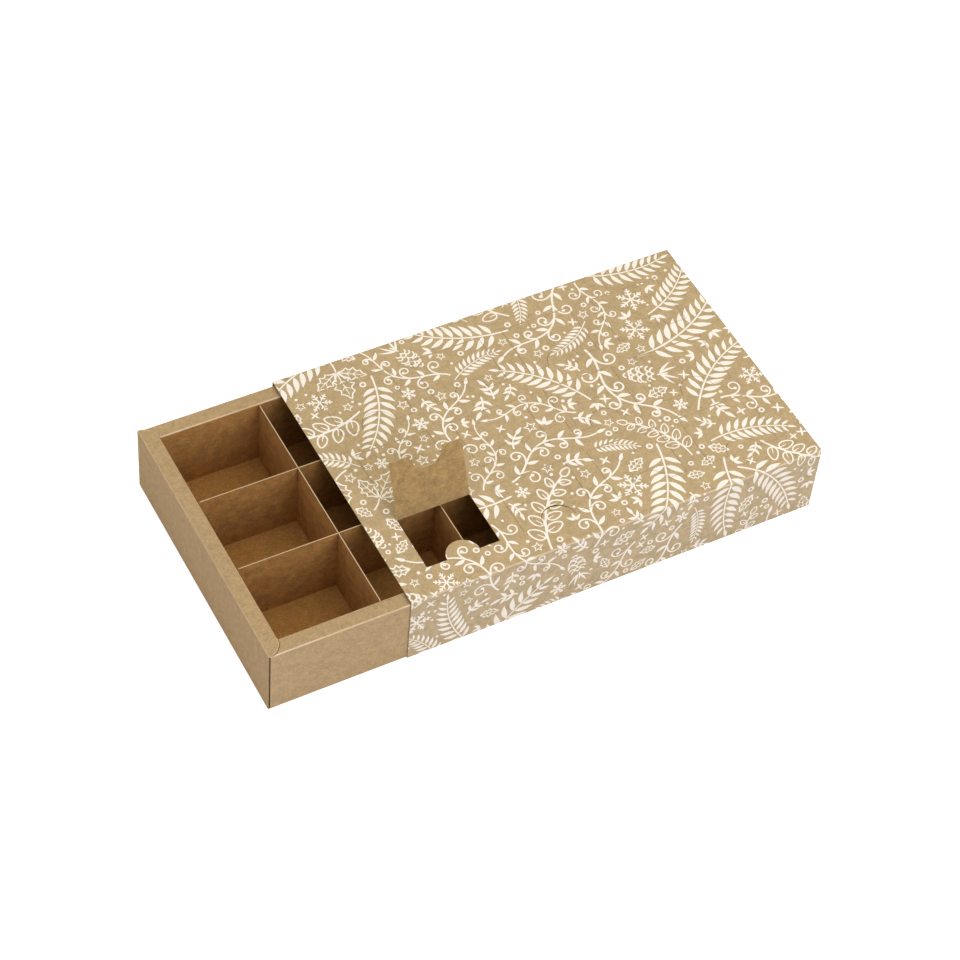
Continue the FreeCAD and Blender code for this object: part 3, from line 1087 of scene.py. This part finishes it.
def door_scores(tree, place):
    """1 on a short line on both sides of each door, in line with its crease."""
    axes = shade(tree, "SeparateXYZ", {0: place}).outputs
    x = calc(tree, "PINGPONG", calc(tree, "ADD", axes[0], far_off * pitch_x * mm), pitch_x / 2 * mm)
    y = calc(tree, "PINGPONG", calc(tree, "SUBTRACT", axes[1], (row_lines[0][1] - far_off * pitch_y) * mm),
             pitch_y / 2 * mm)
    across = ramp(tree, x, (pitch_x - score_reach) / 2 * mm, (pitch_x - score_reach + 1) / 2 * mm)
    return calc(tree, "MULTIPLY", across, ramp(tree, y, 0.5 * mm, 0.15 * mm))


print("doors repeat every", round(pitch_x, 2), "and", round(pitch_y, 2), "mm")

# %% [markdown]
# ## The whole finish
#
# The layers are laid on each other as on the real card: its tone, the clouds, fibres and specks, then the cut edges,
# and last what folding and the die did to it. Some layers also carry painted light: painted shade inside the tray,
# painted shadow in the tray's narrow gaps and a painted highlight along the folds. The same clouds and fibres make
# the bump, so what looks raised is also lit as raised.

# %% Kraft card
edge_tone = (0.66, 0.50, 0.29, 1)
# Rubbed folds, partly a painted highlight along the bends.
fold_wear_and_highlight_tone = (0.80, 0.62, 0.40, 1)
# Painted shadow: the tray walls' cut edges in the corner gaps and the thin step round each lobe on the long walls are
# darkened with this tone, for the shade in those gaps.
gap_shadow_tone = (0.10, 0.055, 0.022, 1)
pale_fibre_tone = (0.68, 0.52, 0.31, 1)
dark_fibre_tone = (0.20, 0.115, 0.05, 1)
score_tone = (0.25, 0.15, 0.07, 1)


def kraft(name, tone, inner_tone, way, edges=(0.85, edge_tone), folds=0.0, scores=False, ring=None):
    """Card with its fibres, cut edges and, where asked for, rubbed folds with a painted highlight, door scores and,
    at the tray's corners, a painted shadow and a pale line.
    """
    material, tree = new_material(name)
    coordinates = shade(tree, "TexCoord").outputs
    place, normal = coordinates["Object"], coordinates["Normal"]
    outward, faced = facing(tree, place, normal, way)
    cloud = noise(tree, place, 620, 4)
    pale, dark = pale_fibres(tree, place), dark_fibres(tree, place)

    inner = ramp(tree, outward, -0.1, -0.4)
    depth = clouds(tree, place, cloud, inner)
    colour = tint(tree, inner, tone, inner_tone)
    colour = shade(tree, "VectorMath", {0: colour, "Scale": depth}, operation="SCALE").outputs[0]
    colour = tint(tree, pale, colour, pale_fibre_tone)
    colour = tint(tree, dark, colour, dark_fibre_tone)
    # Cut edges: pale on the sleeve and the dividers, and on the tray walls a painted shadow for the shade in the
    # corner gaps.
    colour = tint(tree, calc(tree, "MULTIPLY", ramp(tree, faced, 0.5, 0.3), edges[0]), colour, edges[1])
    height = calc(tree, "ADD", calc(tree, "MULTIPLY", cloud, 0.6), calc(tree, "MULTIPLY", pale, 0.5))
    height = calc(tree, "ADD", height, calc(tree, "MULTIPLY", noise(tree, place, 2600, 2), 0.35))
    # Rubbed wear and a painted highlight along the bends.
    if folds:
        colour = tint(tree, worn_folds_and_highlight(tree, place, normal, folds), colour, fold_wear_and_highlight_tone)
    # Round the lobes: a painted shadow on the long walls, and a pale line on the end walls that is partly a painted
    # highlight.
    if ring:
        share, ring_tone, near, far = ring
        colour = tint(tree, calc(tree, "MULTIPLY", painted_lobe_step(tree, place, normal, near, far), share), colour,
                      ring_tone)
    if scores:
        score = door_scores(tree, place)
        colour = tint(tree, calc(tree, "MULTIPLY", score, 0.22), colour, score_tone)
        height = calc(tree, "SUBTRACT", height, score)

    bump = shade(tree, "Bump", {"Strength": 0.5, "Distance": 0.12 * mm, "Height": height}).outputs[0]
    finish = shade(tree, "BsdfPrincipled", {"Base Color": colour, "Normal": bump, "Specular IOR Level": 0.35,
                                            "Roughness": ramp(tree, cloud, 0.3, 0.7, 0.8, 0.92)})
    shade(tree, "OutputMaterial", {"Surface": finish.outputs[0]})
    return material


print("cut edges", edge_tone[:3], "and rubbed folds", fold_wear_and_highlight_tone[:3])

# %% [markdown]
# ## Card for each part
#
# The sleeve is smoother and paler than the tray. Its sides are a little greyer than its top, which is painted light
# for the cooler light that falls on them. What lies inside the tray is darker and browner, which is painted shade
# together with the light that bounces between brown walls. One material could serve all, with its direction looked up
# for each part. Separate materials from one function are easier to read and to change.

# %% Tones of the card
sleeve_tone = (0.50, 0.360, 0.178, 1)
# Painted light: the sides are a little greyer than the top, for the cooler light that falls on them. The card is the
# same.
sleeve_side_lit_tone = (0.485, 0.362, 0.196, 1)
sleeve_inner_tone = (0.385, 0.235, 0.080, 1)
tray_tone = (0.450, 0.303, 0.140, 1)
# Painted shade: the card inside the tray, the upper side of its floor and the dividers are darker and browner than
# the tray's outside, for the shade in the cells and the light that bounces between brown walls.
inside_shade_tone = (0.40, 0.192, 0.041, 1)
divider_shade_tone = (0.375, 0.175, 0.035, 1)
open_way = opening.to_3x3() @ Vector((0, 0, 1))
print("the open door looks towards", [round(value, 2) for value in open_way])

# %% Card of the sleeve
card = {
    "sleeve_flat": kraft("sleeve_kraft_flat", sleeve_tone, sleeve_inner_tone, ("plate", (0, 0, 1)), scores=True),
    "sleeve_fold": kraft("sleeve_kraft_folded", sleeve_side_lit_tone, sleeve_inner_tone, ("round", None), folds=0.5),
    "sleeve_bottom": kraft("sleeve_kraft_bottom", sleeve_tone, sleeve_inner_tone, ("plate", (0, 0, -1))),
    "open_door": kraft("sleeve_kraft_open", sleeve_tone, sleeve_inner_tone, ("plate", open_way))}
print("finishes of the sleeve:", list(card))

# %% Card of the tray and its grid
card.update({
    # The tray walls' cut edges take a painted shadow. Round the lobes the long walls take a painted shadow and the
    # end walls a pale line that is partly a painted highlight.
    "long_wall": kraft("tray_kraft_long", tray_tone, inside_shade_tone, ("wall", (0, 1, 0), 0, (1, 0, 0)),
                       (0.8, gap_shadow_tone), 0.85, ring=(0.8, gap_shadow_tone, -0.1, 0.45)),
    "end_wall": kraft("tray_kraft_end", tray_tone, inside_shade_tone, ("wall", (1, 0, 0), tray_middle.x, (0, 1, 0)),
                      (0.5, gap_shadow_tone), 0.4, ring=(0.5, fold_wear_and_highlight_tone, -0.45, -0.1)),
    "tray_floor": kraft("tray_kraft_floor", inside_shade_tone, tray_tone, ("plate", (0, 0, 1))),
    "long_divider": kraft("divider_kraft_long", divider_shade_tone, divider_shade_tone, ("plate", (0, 1, 0))),
    "cross_divider": kraft("divider_kraft_cross", divider_shade_tone, divider_shade_tone, ("plate", (1, 0, 0)))})
print("all finishes:", list(card))

# %% Card on every part
finish_of = {
    "sleeve_top": "sleeve_flat", "sleeve_front": "sleeve_fold", "sleeve_back": "sleeve_fold",
    "sleeve_glue_flap": "sleeve_fold", "sleeve_bottom": "sleeve_bottom", "door_front_1": "open_door",
    "tray_floor": "tray_floor", "tray_front_wall": "long_wall", "tray_back_wall": "long_wall",
    "tray_left_wall": "end_wall", "tray_right_wall": "end_wall"}
for name, node in nodes.items():
    kind = finish_of.get(name, "sleeve_flat")
    if name.startswith("divider"):
        kind = "long_divider" if "long" in name else "cross_divider"
    node.material_slots[0].material = card[kind]
print("card on", len(nodes), "parts in", len(card), "finishes")

# %% [markdown]
# ## White ink
#
# The ink is matt and nearly covers the card, but a screen print on rough kraft is never quite even: a little brown
# comes through in clouds and pinholes, most of all where the fibres stand up. On the sleeve's front, back and bottom,
# more of the brown is mixed in than on the top, which is painted shade for the less light that falls there. Both come
# from one function.

# %% White ink
ink_tone = (0.97, 0.895, 0.75, 1)


def white_ink(name, brown):
    """Ink through which at least the share brown of the card shows."""
    material, tree = new_material(name)
    place = shade(tree, "TexCoord").outputs["Object"]
    thin = ramp(tree, noise(tree, place, 330, 3), 0.42, 0.75, brown, brown + 0.11)
    pinhole = ramp(tree, noise(tree, place, 1500, 2), 0.64, 0.76, 0.0, 0.22)
    colour = tint(tree, calc(tree, "MAXIMUM", thin, pinhole), ink_tone, sleeve_tone)
    bump = shade(tree, "Bump", {"Strength": 0.35, "Distance": 0.05 * mm, "Height": noise(tree, place, 2600, 2)})
    white = shade(tree, "BsdfPrincipled", {"Base Color": colour, "Roughness": 0.7, "Specular IOR Level": 0.35,
                                           "Normal": bump.outputs[0]})
    shade(tree, "OutputMaterial", {"Surface": white.outputs[0]})
    return material


# Painted shade: the ink on the front, back and bottom takes at least a fifth of the card's brown.
full_ink, shaded_ink = white_ink("white_ink", 0.0), white_ink("white_ink_shaded", 0.2)
for name, piece in ink.items():
    piece.data.materials.clear()
    piece.data.materials.append(shaded_ink if name in ("print_front", "print_back", "print_bottom") else full_ink)
print("white ink on", len(ink), "pieces")
